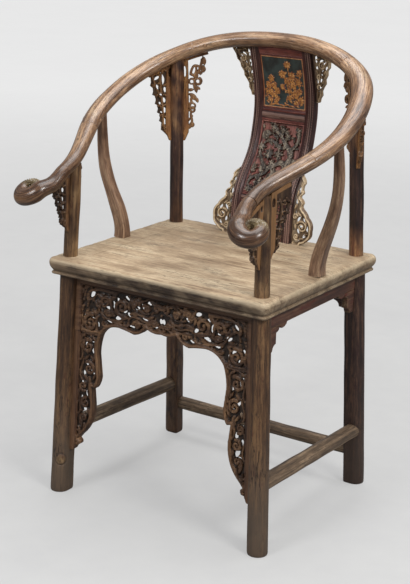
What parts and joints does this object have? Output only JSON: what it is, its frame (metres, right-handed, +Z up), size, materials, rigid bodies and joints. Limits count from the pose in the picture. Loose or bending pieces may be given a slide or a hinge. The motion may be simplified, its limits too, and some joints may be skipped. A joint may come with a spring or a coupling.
{
  "type": "horseshoe back armchair",
  "caption": "Armchair whose round-section crest rail curves down from the back into scrolled hand grips, with splayed legs, an S-curved splat, a framed plank seat and an openwork arched apron",
  "frame": {"origin": "on the floor, under the middle of the chair's bounding box", "axes": "+X to the chair's right side as seen from the front, +Y towards its back, +Z up; the chair faces -Y"},
  "size_m": [0.5996, 0.5706, 0.9366],
  "materials": {
    "crest_wood": "worn honey-brown wood, darker underneath",
    "grip_wood": "smooth greyish-brown wood, polished by hands",
    "leg_wood": "brown wood with remains of red lacquer, greyer at the feet",
    "stretcher_wood": "worn brown wood",
    "seat_wood": "bleached tan wood with grey-brown streaks",
    "bare_wood": "plain unfinished wood",
    "apron_lacquer": "worn red-brown lacquer",
    "post_wood": "worn brown wood",
    "painted_panel": "dark lacquer with gilt drawing in a red frame",
    "relief_panel": "faded red ground with dark carved relief",
    "wing_gilding": "worn bronze-gold lacquer",
    "splat_lacquer": "dark red-brown lacquer",
    "spandrel_wood": "golden-brown wood with dark carving"
  },
  "bodies": {
    "root": {"crest_arm_left": "crest_wood", "crest_arm_right": "crest_wood", "crest_back": "crest_wood", "crest_bend_left": "crest_wood", "crest_bend_right": "crest_wood", "crest_wedges": "crest_wood", "front_apron_left": "apron_lacquer", "front_apron_right": "apron_lacquer", "front_apron_top": "apron_lacquer", "hand_grip_left": "grip_wood", "hand_grip_right": "grip_wood", "leg_front_left": "leg_wood", "leg_front_right": "leg_wood", "leg_rear_left": "leg_wood", "leg_rear_right": "leg_wood", "rear_apron": "apron_lacquer", "rear_bracket_left": "apron_lacquer", "rear_bracket_right": "apron_lacquer", "seat_batten_left": "bare_wood", "seat_batten_right": "bare_wood", "seat_panel": "seat_wood", "seat_rail_front": "seat_wood", "seat_rail_left": "seat_wood", "seat_rail_rear": "seat_wood", "seat_rail_right": "seat_wood", "side_apron_left": "apron_lacquer", "side_apron_right": "apron_lacquer", "side_bracket_front_left": "apron_lacquer", "side_bracket_front_right": "apron_lacquer", "side_bracket_rear_left": "apron_lacquer", "side_bracket_rear_right": "apron_lacquer", "side_post_left": "post_wood", "side_post_right": "post_wood", "spandrel_front_arm_left": "spandrel_wood", "spandrel_front_arm_right": "spandrel_wood", "spandrel_front_grip_left": "spandrel_wood", "spandrel_front_grip_right": "spandrel_wood", "spandrel_rear_inner_left": "spandrel_wood", "spandrel_rear_inner_right": "spandrel_wood", "spandrel_rear_outer_left": "spandrel_wood", "spandrel_rear_outer_right": "spandrel_wood", "splat_panel_lower": "splat_lacquer", "splat_panel_middle": "relief_panel", "splat_panel_upper": "painted_panel", "splat_rail_lower": "splat_lacquer", "splat_rail_top": "splat_lacquer", "splat_rail_upper": "splat_lacquer", "splat_stile_left": "splat_lacquer", "splat_stile_right": "splat_lacquer", "splat_wing_bottom_left": "wing_gilding", "splat_wing_bottom_right": "wing_gilding", "splat_wing_top_left": "wing_gilding", "splat_wing_top_right": "wing_gilding", "stretcher_left": "stretcher_wood", "stretcher_rear": "stretcher_wood", "stretcher_right": "stretcher_wood"}
  },
  "joints": []
}
